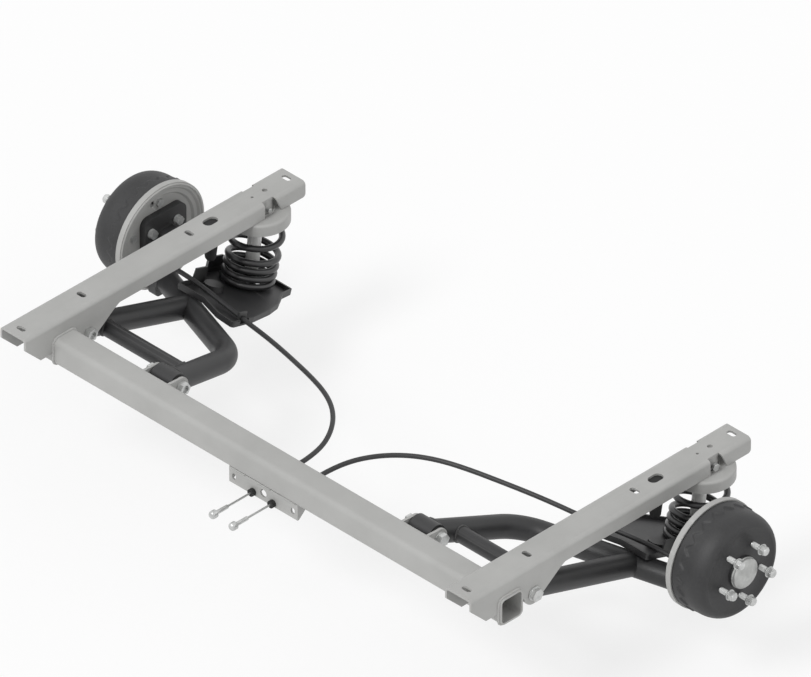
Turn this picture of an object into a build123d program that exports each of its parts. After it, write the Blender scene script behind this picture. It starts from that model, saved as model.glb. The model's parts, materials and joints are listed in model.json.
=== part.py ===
from build123d import *
from math import cos, pi, radians, sin, tan
import os

# Trailing-arm coil-spring axle unit for a trailer. +X is to the right, +Y rearwards, +Z up.
# The origin is the middle of the four outer slots, on the plane of the rails' top faces.

# ---- chassis rails ----
rail_x = 604.4
rail_width = 70.0
rail_plate = 5.0
rail_fold = 9.0
rail_front = -382.0
rail_rear = 376.5
flange_depth = 35.0
nose_depth = 66.0
nose_tip = 26.0
ear_radius = 25.0
slot_row = 358.85
slot_width = 12.0
slot_length = 22.0
inner_slots = (-197.6, 94.0)
stop_y = 151.5

# ---- cross beam ----
beam_y = -278.5
beam_z = -63.6
beam_size = 60.0
beam_wall = 4.0
beam_corner = 12.0
beam_half = 646.0

# ---- arm pivots ----
pivot_y = -213.5
pivot_z = -65.6
pivot_bolt_r = 8.0
sleeve_r = 11.0
bush_r = 20.0
housing_r = 24.15
inner_pivot_x = 351.5
lug_gap = 61.0
lug_plate = 6.0
droop = 18.2

# ---- arm tubes, in the plane of the arm ----
tube_r = 24.15
tube_wall = 4.0
tube_level = -5.2
brace_r = 16.85
brace_y = 68.5
bend_radius = 95.0
leg_start = (351.0, 16.0)
leg_corner = (391.7, 223.6)
leg_end = (716.0, 373.2)

# ---- wheel hub ----
hub_y = 154.5
hub_z = -104.6
plate_rim_r = 115.0
plate_in_x = 742.0
disc_x = 750.0
drum_open_x = 755.5
drum_r = 112.5
drum_face_x = 830.0
drum_face_r = 92.0
brake_r = 100.0
wheel_pcd = 112.0
spindle_r = 17.0

# ---- spring, cup and damper ----
seat_y = 478.0
floor_level = 19.0
floor_plate = 4.0
wire_r = 6.7
coil_r = 48.8
cup_y = 284.5
cup_r = 62.0
cup_low = -60.6
cup_high = -35.1
damper_top = (281.5, -24.0)
damper_low = (251.5, -249.6)
dust_r = 14.0
body_r = 11.5

# ---- brake cables ----
cable_r = 5.0
gland_x = 27.0
bracket_y = -303.0

os.makedirs("parts", exist_ok=True)

# z of this plane is square to the arm, y runs from the pivot along the arm
arm_plane = Plane(
    origin=(0, pivot_y, pivot_z),
    x_dir=(1, 0, 0),
    z_dir=(0, sin(radians(droop)), cos(radians(droop))),
)
hub_axis = Axis((0, hub_y, hub_z), (1, 0, 0))


def arm_point(x, along, up):
    """Where a point of the arm's own frame lies in the unit's frame."""
    return arm_plane.from_local_coords(Vector(x, along, up))


def cross_plane(x, y, z):
    """A plane square to X, with its own x rearwards and its own y upwards."""
    return Plane(origin=(x, y, z), x_dir=(0, 1, 0), z_dir=(1, 0, 0))


def cheek_plane(x):
    """A plane square to X, with its own x along the arm and its own y square to the arm."""
    return Plane(origin=(x, pivot_y, pivot_z), x_dir=arm_plane.y_dir, z_dir=(1, 0, 0))


def side_plane(y, z):
    """A plane square to Y through a line along X, for profiles turned about that line."""
    return Plane(origin=(0, y, z), x_dir=(1, 0, 0), z_dir=(0, -1, 0))


def save(piece, name):
    piece.label = name
    export_step(piece, f"parts/{name}.step")


def save_pair(piece, name):
    """Write a right-hand piece and its mirror image on the left."""
    save(piece, f"{name}_right")
    with BuildPart() as twin:
        mirror(piece, about=Plane.YZ)
    save(twin.part, f"{name}_left")


# ------------------------------------------------------------------ cross beam
with BuildPart() as cross_beam:
    with BuildSketch(cross_plane(-beam_half, beam_y, beam_z)):
        RectangleRounded(beam_size, beam_size, beam_corner)
        inner = beam_size - 2 * beam_wall
        RectangleRounded(inner, inner, beam_corner - beam_wall, mode=Mode.SUBTRACT)
    extrude(amount=2 * beam_half)
save(cross_beam.part, "cross_beam")

# ----------------------------------------------------------------- chassis rail
flange_outline = [
    (rail_front, 1),
    (rail_front, -nose_tip),
    (rail_front + 40, -nose_depth),
    (pivot_y - 27, -nose_depth),
    (pivot_y, pivot_z),
    (-142.5, -42.6),
    (-128.5, -flange_depth),
    (rail_rear, -flange_depth),
    (rail_rear, 1),
]
with BuildPart() as rail_section:
    with BuildSketch(Plane(origin=(rail_x, rail_front, 0), x_dir=(1, 0, 0), z_dir=(0, -1, 0))):
        with Locations((0, -60)):
            Rectangle(rail_width, 120)
        with Locations((0, -60 - rail_plate)):
            Rectangle(rail_width - 2 * rail_plate, 120, mode=Mode.SUBTRACT)
    extrude(amount=rail_front - rail_rear)
    folds = rail_section.edges().filter_by(Axis.Y).filter_by(lambda e: abs(e.center().Z) < 0.1)
    fillet(folds, rail_fold)
    inner_folds = rail_section.edges().filter_by(Axis.Y)
    fillet(inner_folds.filter_by(lambda e: abs(e.center().Z + rail_plate) < 0.1), rail_fold - rail_plate)

with BuildPart() as flange_shape:
    with BuildSketch(cross_plane(rail_x - rail_width, 0, 0)):
        with BuildLine():
            Polyline(*flange_outline, close=True)
        make_face()
        with Locations((pivot_y, pivot_z)):
            Circle(ear_radius)
        with BuildLine():
            Polyline(
                (pivot_y + 20.5, pivot_z - 14.3), (-142.5, -42.6), (pivot_y, 0), (pivot_y - 27, -nose_depth),
                (pivot_y - 20, pivot_z - 15), close=True,
            )
        make_face()
    extrude(amount=2 * rail_width)

with BuildPart() as rail:
    add(rail_section.part)
    add(flange_shape.part, mode=Mode.INTERSECT)
    with BuildSketch(Plane.XY.offset(-rail_plate - 1)):
        with Locations(*[(rail_x, y) for y in (-slot_row, slot_row, *inner_slots)]):
            SlotOverall(slot_length, slot_width)
        with Locations((rail_x, stop_y)):
            SlotOverall(34, 22, rotation=90)
        with Locations((rail_x, cup_y - 19)):
            Circle(3)
        with Locations((rail_x, cup_y + 15)):
            Circle(5.5)
    extrude(amount=rail_plate + 2, mode=Mode.SUBTRACT)
    # the beam passes through both flanges
    with BuildSketch(cross_plane(rail_x - rail_width, beam_y, beam_z)):
        RectangleRounded(beam_size + 0.2, beam_size + 0.2, beam_corner)
    extrude(amount=2 * rail_width, mode=Mode.SUBTRACT)
    # each flange is notched round the spring cup
    with BuildSketch(cross_plane(rail_x - rail_width, 0, 0)):
        with BuildLine():
            Polyline((266, 2), (266, -45), (316.5, -45), (294.5, 2), close=True)
        make_face()
    extrude(amount=rail_width - 26, mode=Mode.SUBTRACT)
    with BuildSketch(cross_plane(rail_x + 26, 0, 0)):
        with BuildLine():
            Polyline((266, 2), (266, -45), (316.5, -45), (294.5, 2), close=True)
        make_face()
    extrude(amount=rail_width, mode=Mode.SUBTRACT)
    # outer pivot bolt holes
    with BuildSketch(cross_plane(rail_x - rail_width, pivot_y, pivot_z)):
        Circle(pivot_bolt_r + 0.25)
    extrude(amount=2 * rail_width, mode=Mode.SUBTRACT)
    rear_corners = rail.edges().filter_by(Axis.X).filter_by(lambda e: e.center().Y > rail_rear - 1)
    fillet(rear_corners.sort_by(Axis.Z)[:2], 8)
save_pair(rail.part, "rail")
print("rail", round(rail.part.volume))

# ------------------------------------------------------------- inner pivot lugs
with BuildPart() as inner_lugs:
    for x in (inner_pivot_x - lug_gap / 2 - lug_plate, inner_pivot_x + lug_gap / 2):
        with BuildSketch(cross_plane(x, 0, 0)):
            with BuildLine():
                Polyline(
                    (beam_y + 30.2, -44), (pivot_y + 6, pivot_z + 19), (pivot_y + 6, pivot_z - 19),
                    (beam_y + 30.2, -88), close=True,
                )
            make_face()
            with Locations((pivot_y, pivot_z)):
                Circle(20)
                Circle(pivot_bolt_r + 0.25, mode=Mode.SUBTRACT)
        extrude(amount=lug_plate)
    mirror(about=Plane.YZ)
save(inner_lugs.part, "inner_lugs")

# ------------------------------------------------- pivot bolts, nuts and sleeves
outer_grip = rail_width
inner_grip = lug_gap + 2 * lug_plate
with BuildPart() as pivot_bolts:
    for x, grip in ((rail_x, outer_grip), (inner_pivot_x, inner_grip)):
        with BuildSketch(cross_plane(x - grip / 2 - 8, pivot_y, pivot_z)):
            Circle(pivot_bolt_r)
        extrude(amount=grip + 8)
        with BuildSketch(cross_plane(x + grip / 2, pivot_y, pivot_z)):
            Circle(15)
        extrude(amount=3)
        with BuildSketch(cross_plane(x + grip / 2 + 3, pivot_y, pivot_z)):
            RegularPolygon(12, 6, major_radius=False)
        extrude(amount=10)
        # the nut is a solid of its own on the thread
        with BuildSketch(cross_plane(x - grip / 2 - 13, pivot_y, pivot_z)):
            RegularPolygon(12, 6, major_radius=False)
            Circle(pivot_bolt_r + 0.02, mode=Mode.SUBTRACT)
        extrude(amount=13)
    mirror(about=Plane.YZ)
save(pivot_bolts.part, "pivot_bolts")

with BuildPart() as pivot_sleeves:
    for x, width in ((rail_x, rail_width - 2 * rail_plate), (inner_pivot_x, lug_gap)):
        with BuildSketch(cross_plane(x - width / 2, pivot_y, pivot_z)):
            Circle(sleeve_r)
            Circle(pivot_bolt_r + 0.05, mode=Mode.SUBTRACT)
        extrude(amount=width)
    mirror(about=Plane.YZ)
save(pivot_sleeves.part, "pivot_sleeves")


def sleeves(width, outer, bore):
    """A tube at each of the two right-hand pivots."""
    with BuildPart() as tubes:
        for x in (rail_x, inner_pivot_x):
            with BuildSketch(cross_plane(x - width / 2, pivot_y, pivot_z)):
                Circle(outer)
                Circle(bore, mode=Mode.SUBTRACT)
            extrude(amount=width)
    return tubes.part


save_pair(sleeves(57.0, bush_r, sleeve_r + 0.05), "pivot_bushes")
save_pair(sleeves(54.0, housing_r, bush_r), "pivot_housings")

# -------------------------------------------------------------------- arm tubes
with BuildPart() as housing_blanks:
    for x in (rail_x, inner_pivot_x):
        with BuildSketch(cross_plane(x - 27, pivot_y, pivot_z)):
            Circle(housing_r)
        extrude(amount=54)


def bent_tube(outer):
    """The bent inboard leg, swept along its own centre line."""
    with BuildPart() as leg:
        with BuildLine(arm_plane.offset(tube_level)) as route:
            FilletPolyline(leg_start, leg_corner, leg_end, radius=bend_radius)
        with BuildSketch(Plane(origin=route.line @ 0, z_dir=route.line % 0)):
            Circle(outer)
        sweep()
    return leg.part


bent_blank = bent_tube(tube_r)
bent_core = bent_tube(tube_r - tube_wall)
bent_cutter = bent_tube(tube_r + 0.3)

with BuildPart() as carrier_face:
    with Locations((716 + 50, hub_y, hub_z)):
        Box(100, 300, 300)

with BuildPart() as arm_bent_tube:
    add(bent_blank)
    add(bent_core, mode=Mode.SUBTRACT)
    add(housing_blanks.part, mode=Mode.SUBTRACT)
    add(carrier_face.part, mode=Mode.SUBTRACT)
save_pair(arm_bent_tube.part, "arm_bent_tube")
print("bent tube", round(arm_bent_tube.part.volume))

with BuildPart() as arm_outer_tube:
    with BuildSketch(Plane(origin=arm_point(rail_x, 8, tube_level), z_dir=arm_plane.y_dir)):
        Circle(tube_r)
        Circle(tube_r - tube_wall, mode=Mode.SUBTRACT)
    extrude(amount=314)
    add(housing_blanks.part, mode=Mode.SUBTRACT)
    add(bent_cutter, mode=Mode.SUBTRACT)
outer_piece = arm_outer_tube.part.solids().sort_by(SortBy.VOLUME)[-1]
with BuildPart() as arm_outer_tube:
    add(outer_piece)
save_pair(arm_outer_tube.part, "arm_outer_tube")

with BuildPart() as outer_blank:
    with BuildSketch(Plane(origin=arm_point(rail_x, 0, tube_level), z_dir=arm_plane.y_dir)):
        Circle(tube_r)
    extrude(amount=320)

with BuildPart() as arm_brace:
    with BuildSketch(Plane(origin=arm_point(360, brace_y, tube_level), z_dir=(1, 0, 0))):
        Circle(brace_r)
        Circle(brace_r - 3, mode=Mode.SUBTRACT)
    extrude(amount=240)
    add(bent_blank, mode=Mode.SUBTRACT)
    add(outer_blank.part, mode=Mode.SUBTRACT)
brace_piece = arm_brace.part.solids().sort_by(SortBy.VOLUME)[-1]
with BuildPart() as arm_brace:
    add(brace_piece)
save_pair(arm_brace.part, "arm_brace")

# ------------------------------------------------------------------ spring tray
tray_outline = [
    (640, 316), (568, 316), (506, 291), (457, 285), (462, 350), (478, 415),
    (494, 455), (526, 500), (536, 538), (668, 540), (672, 430), (640, 392),
]
damper_hole_y = 490.0
with BuildPart() as spring_tray:
    with BuildSketch(arm_plane.offset(floor_level)) as tray_sketch:
        with BuildLine():
            Polyline(*tray_outline, close=True)
        make_face()
        fillet(tray_sketch.vertices(), 7)
    extrude(amount=12)
    with BuildSketch(arm_plane.offset(floor_level + floor_plate)):
        offset(tray_sketch.sketch_local, amount=-4, kind=Kind.INTERSECTION)
    extrude(amount=20, mode=Mode.SUBTRACT)
    # the upright wall along the outboard side, notched low at its front for the cable
    with BuildSketch(cheek_plane(636)):
        with BuildLine():
            Polyline(
                (318, floor_level + 4), (318, floor_level + 10), (356, floor_level + 10),
                (360, floor_level + 36), (392, floor_level + 36), (392, floor_level + 4), close=True,
            )
        make_face()
    extrude(amount=4)
    with BuildSketch(arm_plane.offset(floor_level + floor_plate)):
        with BuildLine():
            Polyline((636, 390), (640, 388), (672, 428), (669, 431), close=True)
        make_face()
    extrude(amount=32)
    with BuildSketch(cheek_plane(668)):
        with BuildLine():
            Polyline(
                (428, floor_level + 4), (428, floor_level + 36), (470, floor_level + 36),
                (500, floor_level + 12), (536, floor_level + 12), (536, floor_level + 4), close=True,
            )
        make_face()
    extrude(amount=4)
    # the apron turned down round the inboard edge
    with BuildSketch(arm_plane.offset(floor_level)):
        with BuildLine():
            apron = Polyline((459, 325), (462, 350), (478, 415), (494, 455), (526, 500), (535, 534))
        offset(apron, amount=3, side=Side.RIGHT)
        make_face()
    extrude(amount=-16)
    # locating ring for the spring, strike pad for the bump stop
    with BuildSketch(arm_plane.offset(floor_level + floor_plate)):
        with Locations((rail_x, seat_y)):
            Circle(39)
            Circle(35, mode=Mode.SUBTRACT)
    extrude(amount=11)
    with BuildSketch(arm_plane.offset(floor_level + floor_plate)):
        with Locations((rail_x, 381)):
            Circle(21)
    extrude(amount=12, taper=10)
    with BuildSketch(arm_plane.offset(floor_level - 1)):
        with Locations((rail_x, damper_hole_y)):
            SlotOverall(44, 30, rotation=90)
    extrude(amount=30, mode=Mode.SUBTRACT)
    # damper fork under the floor
    for x in (rail_x - 21, rail_x + 16):
        with BuildSketch(cheek_plane(x)):
            with BuildLine():
                Polyline((452, floor_level), (528, floor_level), (515, -30), (483, -30), close=True)
            make_face()
            with Locations((499.2, -29.6)):
                Circle(17)
        extrude(amount=5)
    with BuildSketch(cross_plane(rail_x - 25, damper_low[0], damper_low[1])):
        Circle(6.1)
    extrude(amount=50, mode=Mode.SUBTRACT)
    # the rim drops for the cable, which passes through an upright clip on the inboard corner
    with BuildSketch(arm_plane.offset(floor_level + floor_plate)):
        with Locations((460, 322)):
            Rectangle(16, 26)
    extrude(amount=20, mode=Mode.SUBTRACT)
    with BuildSketch(arm_plane.offset(floor_level + floor_plate)):
        with Locations((470, 323)):
            Rectangle(4, 22)
    extrude(amount=20)
    with BuildSketch(cross_plane(460, 103.4, -138.8)):
        Circle(cable_r + 0.6)
    extrude(amount=16, mode=Mode.SUBTRACT)
save_pair(spring_tray.part, "spring_tray")
print("tray solids", len(spring_tray.part.solids()), round(spring_tray.part.volume))

# ------------------------------------------------- stub axle on its upright plate
with BuildPart() as stub_axle:
    with BuildSketch(cross_plane(736, hub_y + 4, hub_z)):
        RectangleRounded(114, 118, 20)
    extrude(amount=disc_x - 736)
    with BuildSketch(cross_plane(716, 0, 0)) as upright:
        with BuildLine():
            Polyline(
                (110, -218), (110, -160), (116, -153), (136, -153), (142, -147), (142, -86),
                (178, -86), (178, -150), (170, -218), close=True,
            )
        make_face()
        fillet(upright.vertices().sort_by(Axis.Y)[:2], 12)
    extrude(amount=20)
    with BuildSketch(cross_plane(disc_x, hub_y, hub_z)):
        Circle(30)
    extrude(amount=22)
    with BuildSketch(cross_plane(disc_x + 22, hub_y, hub_z)):
        Circle(spindle_r)
    extrude(amount=51)
    with BuildSketch(cross_plane(disc_x + 73, hub_y, hub_z)):
        Circle(12)
    extrude(amount=15)
    with BuildSketch(cross_plane(730, hub_y, hub_z)):
        with Locations(*[(dy, dz) for dy in (-35, 35) for dz in (-26.5, 26.5)]):
            Circle(5.2)
        with Locations((-22, -37)):
            Circle(cable_r + 0.6)
    extrude(amount=disc_x - 730 + 1, mode=Mode.SUBTRACT)
save_pair(stub_axle.part, "stub_axle")

# ---------------------------------------------------------------- backing plate
with BuildPart() as backing_plate:
    with BuildSketch(side_plane(hub_y, hub_z)):
        with BuildLine():
            Polyline(
                (disc_x, 30.3), (disc_x, 88), (disc_x - 4, 92), (disc_x - 4, 100), (plate_in_x, 104),
                (plate_in_x, plate_rim_r), (drum_open_x - 1.5, plate_rim_r),
                (drum_open_x - 1.5, plate_rim_r - 3), (plate_in_x + 3, plate_rim_r - 3),
                (plate_in_x + 3, 106), (disc_x - 1, 102), (disc_x - 1, 94), (disc_x + 3, 90),
                (disc_x + 3, 30.3), close=True,
            )
        make_face()
    revolve(axis=hub_axis)
    with BuildSketch(cross_plane(disc_x - 10, hub_y, hub_z)):
        with Locations((-19, 80)):
            Ellipse(6, 8)
        with Locations(*[(dy, dz) for dy in (-35, 35) for dz in (-26.5, 26.5)]):
            Circle(5.2)
        with Locations((-22, -37)):
            Circle(cable_r + 0.3)
    extrude(amount=20, mode=Mode.SUBTRACT)
save_pair(backing_plate.part, "backing_plate")

# ------------------------------------------------------- fasteners on the arm
with BuildPart() as arm_bolts:
    for dy in (-35, 35):
        for dz in (-26.5, 26.5):
            with BuildSketch(cross_plane(725, hub_y + dy, hub_z + dz)):
                RegularPolygon(8.5, 6, major_radius=False)
            extrude(amount=9)
            with BuildSketch(cross_plane(734, hub_y + dy, hub_z + dz)):
                Circle(10)
            extrude(amount=2)
            with BuildSketch(cross_plane(734, hub_y + dy, hub_z + dz)):
                Circle(5)
            extrude(amount=28)
            with BuildSketch(cross_plane(disc_x + 3, hub_y + dy, hub_z + dz)):
                RegularPolygon(7.5, 6, major_radius=False)
            extrude(amount=7)
    with BuildSketch(cross_plane(disc_x - 6, hub_y, hub_z)):
        with Locations((0, 76)):
            RegularPolygon(8, 6, major_radius=False)
        with Locations((-72, 24)):
            Circle(7)
    extrude(amount=6)
    with BuildSketch(cross_plane(rail_x - 29, damper_low[0], damper_low[1])):
        RegularPolygon(9.5, 6, major_radius=False)
    extrude(amount=8)
    with BuildSketch(cross_plane(rail_x - 21, damper_low[0], damper_low[1])):
        Circle(6)
    extrude(amount=42)
    with BuildSketch(cross_plane(rail_x + 21, damper_low[0], damper_low[1])):
        RegularPolygon(9.5, 6, major_radius=False)
    extrude(amount=8)
    # the cable's end fitting
    with BuildSketch(cross_plane(699, 131.4, -141.1)):
        Circle(10)
        Circle(cable_r + 1, mode=Mode.SUBTRACT)
    extrude(amount=16)
save_pair(arm_bolts.part, "arm_bolts")

# --------------------------------------------------------------------- brakes
shoe_inner_x = 763.0
shoe_outer_x = 803.0
anchor_y = 22.0
anchor_up = 76.0
anchor_r = 6.0


def brake_shoe(sign):
    """One shoe: a curved table with its lining and a flat web; sign -1 is the front one."""
    with BuildPart() as shoe:
        with BuildSketch(cross_plane(shoe_inner_x, hub_y, hub_z)) as table:
            Circle(98.4)
            Circle(88.5, mode=Mode.SUBTRACT)
            with BuildLine():
                Polyline((0, 0), (sign * 110, 72), (sign * 110, -72), close=True)
            make_face(mode=Mode.INTERSECT)
        extrude(amount=shoe_outer_x - shoe_inner_x)
        with BuildSketch(cross_plane(shoe_inner_x + 18, hub_y, hub_z)):
            Circle(88.5)
            Circle(70, mode=Mode.SUBTRACT)
            with BuildLine():
                Polyline(
                    (sign * 13, 100), (sign * 100, 100), (sign * 100, -100), (sign * 13, -100), close=True,
                )
            make_face(mode=Mode.INTERSECT)
            with Locations((sign * anchor_y, anchor_up)):
                Circle(anchor_r + 0.05, mode=Mode.SUBTRACT)
        extrude(amount=5)
    return shoe.part


save_pair(brake_shoe(-1), "brake_shoe_front")
save_pair(brake_shoe(1), "brake_shoe_rear")

with BuildPart() as brake_expander:
    with BuildSketch(cross_plane(disc_x + 14, hub_y, hub_z)):
        with Locations((0, -81)):
            Circle(9)
    extrude(amount=32)
    with BuildSketch(cross_plane(disc_x + 14, hub_y, hub_z)):
        with BuildLine():
            Polyline((-6, -78), (5, -72), (-16, -34), (-28, -40), close=True)
        make_face()
    extrude(amount=5)
    # the two anchor pins the shoes turn on
    with BuildSketch(cross_plane(disc_x + 3, hub_y, hub_z)):
        with Locations((-anchor_y, anchor_up), (anchor_y, anchor_up)):
            Circle(anchor_r)
    extrude(amount=37)
save_pair(brake_expander.part, "brake_expander")

# ------------------------------------------------------------ brake drum and hub
with BuildPart() as brake_drum:
    with BuildSketch(side_plane(hub_y, hub_z)):
        with BuildLine():
            Polyline(
                (drum_open_x, brake_r), (drum_open_x, drum_r - 1.5), (drum_open_x + 1.5, drum_r),
                (798, drum_r), (812, drum_r - 4), (drum_face_x - 4, drum_face_r + 3),
                (drum_face_x, drum_face_r - 3), (drum_face_x, 33.25), (drum_face_x + 5, 33.25),
                (drum_face_x + 5, 30.5), (drum_face_x - 2, 30.5), (drum_face_x - 2, 32),
                (782, 32), (782, 28), (778, 28), (778, 44), (808, 50), (816, 60), (816, 86), (806, brake_r),
                close=True,
            )
        make_face()
    revolve(axis=hub_axis)
    # shallow cast scallops round the open edge
    with BuildSketch(cross_plane(drum_open_x + 5, hub_y, hub_z)):
        with PolarLocations(drum_r + 27, 12, start_angle=15):
            Circle(30)
    extrude(amount=24, mode=Mode.SUBTRACT)
    with BuildSketch(cross_plane(815, hub_y, hub_z)):
        with PolarLocations(wheel_pcd / 2, 5, start_angle=-90):
            Circle(6.02)
    extrude(amount=20, mode=Mode.SUBTRACT)
save_pair(brake_drum.part, "brake_drum")

with BuildPart() as wheel_bearing:
    with BuildSketch(cross_plane(783, hub_y, hub_z)):
        Circle(32)
        Circle(spindle_r + 0.05, mode=Mode.SUBTRACT)
    extrude(amount=37)
    with BuildSketch(cross_plane(783, hub_y, hub_z)):
        Circle(28)
        Circle(21, mode=Mode.SUBTRACT)
    extrude(amount=2, mode=Mode.SUBTRACT)
save_pair(wheel_bearing.part, "wheel_bearing")

with BuildPart() as axle_nut:
    with BuildSketch(cross_plane(disc_x + 73, hub_y, hub_z)):
        RegularPolygon(17, 6, major_radius=False)
        Circle(12.02, mode=Mode.SUBTRACT)
    extrude(amount=12)
save_pair(axle_nut.part, "axle_nut")

with BuildPart() as hub_cap:
    with BuildSketch(side_plane(hub_y, hub_z)):
        with BuildLine():
            Polyline(
                (drum_face_x - 1, 30.4), (drum_face_x + 5.1, 30.4), (drum_face_x + 5.1, 32),
                (drum_face_x + 13, 32), (drum_face_x + 15, 30), (drum_face_x + 17, 18),
                (drum_face_x + 17.5, 0), (drum_face_x + 15.5, 0), (drum_face_x + 15, 17),
                (drum_face_x + 13, 28),
                (drum_face_x - 1, 28.4), close=True,
            )
        make_face()
    revolve(axis=hub_axis)
save_pair(hub_cap.part, "hub_cap")

with BuildPart() as wheel_bolts:
    with BuildSketch(cross_plane(817, hub_y, hub_z)):
        with PolarLocations(wheel_pcd / 2, 5, start_angle=-90):
            Circle(6)
    extrude(amount=drum_face_x + 18 - 817)
    with BuildSketch(cross_plane(drum_face_x + 18, hub_y, hub_z)):
        with PolarLocations(wheel_pcd / 2, 5, start_angle=-90):
            Circle(11.5)
    extrude(amount=5)
    collars = wheel_bolts.edges().filter_by(GeomType.CIRCLE)
    lips = collars.filter_by(lambda e: abs(e.center().X - drum_face_x - 18) < 0.1 and e.radius > 11)
    chamfer(lips, 4.5, 4)
    with BuildSketch(cross_plane(drum_face_x + 23, hub_y, hub_z)):
        with PolarLocations(wheel_pcd / 2, 5, start_angle=-90):
            RegularPolygon(9.5, 6, major_radius=False)
    extrude(amount=12)
save_pair(wheel_bolts.part, "wheel_bolts")

# ------------------------------------------------------- spring cup and bump stop
with BuildPart() as spring_cup:
    with BuildSketch(Plane.XY.offset(cup_low)):
        with Locations((rail_x, cup_y)):
            Circle(cup_r)
    extrude(amount=cup_high - cup_low)
    shoulder = spring_cup.edges().filter_by(GeomType.CIRCLE).sort_by(Axis.Z)[-1]
    fillet(shoulder, 6)
    with BuildSketch(Plane.XY.offset(cup_low)):
        with Locations((rail_x, cup_y)):
            Circle(cup_r - 3.5)
    extrude(amount=cup_high - cup_low - 3.5, mode=Mode.SUBTRACT)
    with BuildSketch(Plane.XY.offset(cup_high - 3.5)):
        with Locations((rail_x, cup_y)):
            Circle(25.8)
    extrude(amount=-cup_high + 3.5 - rail_plate - 0.05)
    with BuildSketch(Plane.XY.offset(cup_high - 4)):
        with Locations((rail_x, cup_y)):
            Circle(21.8)
    extrude(amount=-cup_high - rail_plate + 1, mode=Mode.SUBTRACT)
    with BuildSketch(cross_plane(rail_x - 40, *damper_top)):
        Circle(5.05)
    extrude(amount=80, mode=Mode.SUBTRACT)
save_pair(spring_cup.part, "spring_cup")

with BuildPart() as damper_top_bolts:
    with BuildSketch(cross_plane(rail_x - 34, *damper_top)):
        Circle(5)
    extrude(amount=64)
    with BuildSketch(cross_plane(rail_x + 30, *damper_top)):
        RegularPolygon(7.5, 6, major_radius=False)
    extrude(amount=6)
    mirror(about=Plane.YZ)
save(damper_top_bolts.part, "damper_top_bolts")

stop_tip = -92.6
with BuildPart() as bump_stop:
    with BuildSketch(side_plane(stop_y, 0)):
        with BuildLine():
            Polyline(
                (rail_x, -rail_plate - 0.05), (rail_x + 24, -rail_plate - 0.05),
                (rail_x + 24, -rail_plate - 8), (rail_x + 20, -rail_plate - 12),
                (rail_x + 17, -35), (rail_x + 11, stop_tip + 8),
                (rail_x + 8, stop_tip + 3), (rail_x + 4, stop_tip + 0.6), (rail_x, stop_tip), close=True,
            )
        make_face()
    revolve(axis=Axis((rail_x, stop_y, 0), (0, 0, 1)))
save_pair(bump_stop.part, "bump_stop")

# ---------------------------------------------------------------- coil spring
# The coil stands square on the tray and its axis bends upright into the cup.
coil_length = 145.0
turn_heights = [
    (0.0, 0.0), (1.0, 15.0), (3.0, 48.5), (3.3, 54.0), (4.3, 88.0), (5.2, 134.0), (5.6, coil_length),
]
axis_straight = 71.0
spring_foot = arm_point(rail_x, seat_y, floor_level + floor_plate + wire_r + 0.2)
bend_length = coil_length - axis_straight


def coil_height(turn):
    for (t0, h0), (t1, h1) in zip(turn_heights, turn_heights[1:]):
        if turn <= t1 + 1e-9:
            return h0 + (h1 - h0) * (turn - t0) / (t1 - t0)
    return turn_heights[-1][1]


def coil_axis(height):
    """The axis point at a height along the coil, and the lean of the coil there."""
    if height <= axis_straight:
        lean = radians(droop)
        return spring_foot + Vector(0, sin(lean), cos(lean)) * height, lean
    steps = 12
    y, z = 0.0, 0.0
    share = (height - axis_straight) / steps
    for step in range(steps):
        middle = (step + 0.5) * share / bend_length
        lean = radians(droop) * max(0.0, 1 - middle)
        y += sin(lean) * share
        z += cos(lean) * share
    lean = radians(droop) * max(0.0, 1 - (height - axis_straight) / bend_length)
    start = spring_foot + Vector(0, sin(radians(droop)), cos(radians(droop))) * axis_straight
    return start + Vector(0, y, z), lean


def coil_point(turn):
    centre, lean = coil_axis(coil_height(turn))
    angle = 360 * turn + 215
    across = coil_r * cos(radians(angle))
    along = coil_r * sin(radians(angle))
    return centre + Vector(across, along * cos(lean), -along * sin(lean))


points_per_turn = 12
turn_count = turn_heights[-1][0]
coil_points = [coil_point(n / points_per_turn) for n in range(int(turn_count * points_per_turn) + 1)]
with BuildPart() as coil_spring:
    with BuildLine() as coil_route:
        Spline(*coil_points)
    with BuildSketch(Plane(origin=coil_route.line @ 0, z_dir=coil_route.line % 0)):
        Circle(wire_r)
    sweep(is_frenet=True)
# both springs are the same part, wound the same way
save(coil_spring.part, "coil_spring_right")
save(coil_spring.part.moved(Location((-2 * rail_x, 0, 0))), "coil_spring_left")
print("spring", round(coil_spring.part.volume), "expected",
      round(coil_route.wires()[0].length * pi * wire_r ** 2))

# --------------------------------------------------------------------- damper
damper_length = ((damper_top[0] - damper_low[0]) ** 2 + (damper_top[1] - damper_low[1]) ** 2) ** 0.5
damper_dir = Vector(0, damper_low[0] - damper_top[0], damper_low[1] - damper_top[1]) / damper_length


def damper_plane(reach):
    """A plane square to the damper, a given way down from its top eye."""
    origin = Vector(rail_x, *damper_top) + damper_dir * reach
    return Plane(origin=origin, x_dir=(1, 0, 0), z_dir=damper_dir)


with BuildPart() as damper_upper:
    with BuildSketch(cross_plane(rail_x - 12, *damper_top)):
        Circle(13)
    extrude(amount=24)
    with BuildSketch(damper_plane(9)):
        Circle(dust_r)
    extrude(amount=131)
    with BuildSketch(damper_plane(18)):
        Circle(dust_r - 2)
    extrude(amount=130, mode=Mode.SUBTRACT)
    with BuildSketch(cross_plane(rail_x - 13, *damper_top)):
        Circle(5.05)
    extrude(amount=26, mode=Mode.SUBTRACT)
save_pair(damper_upper.part, "damper_upper")

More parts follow.
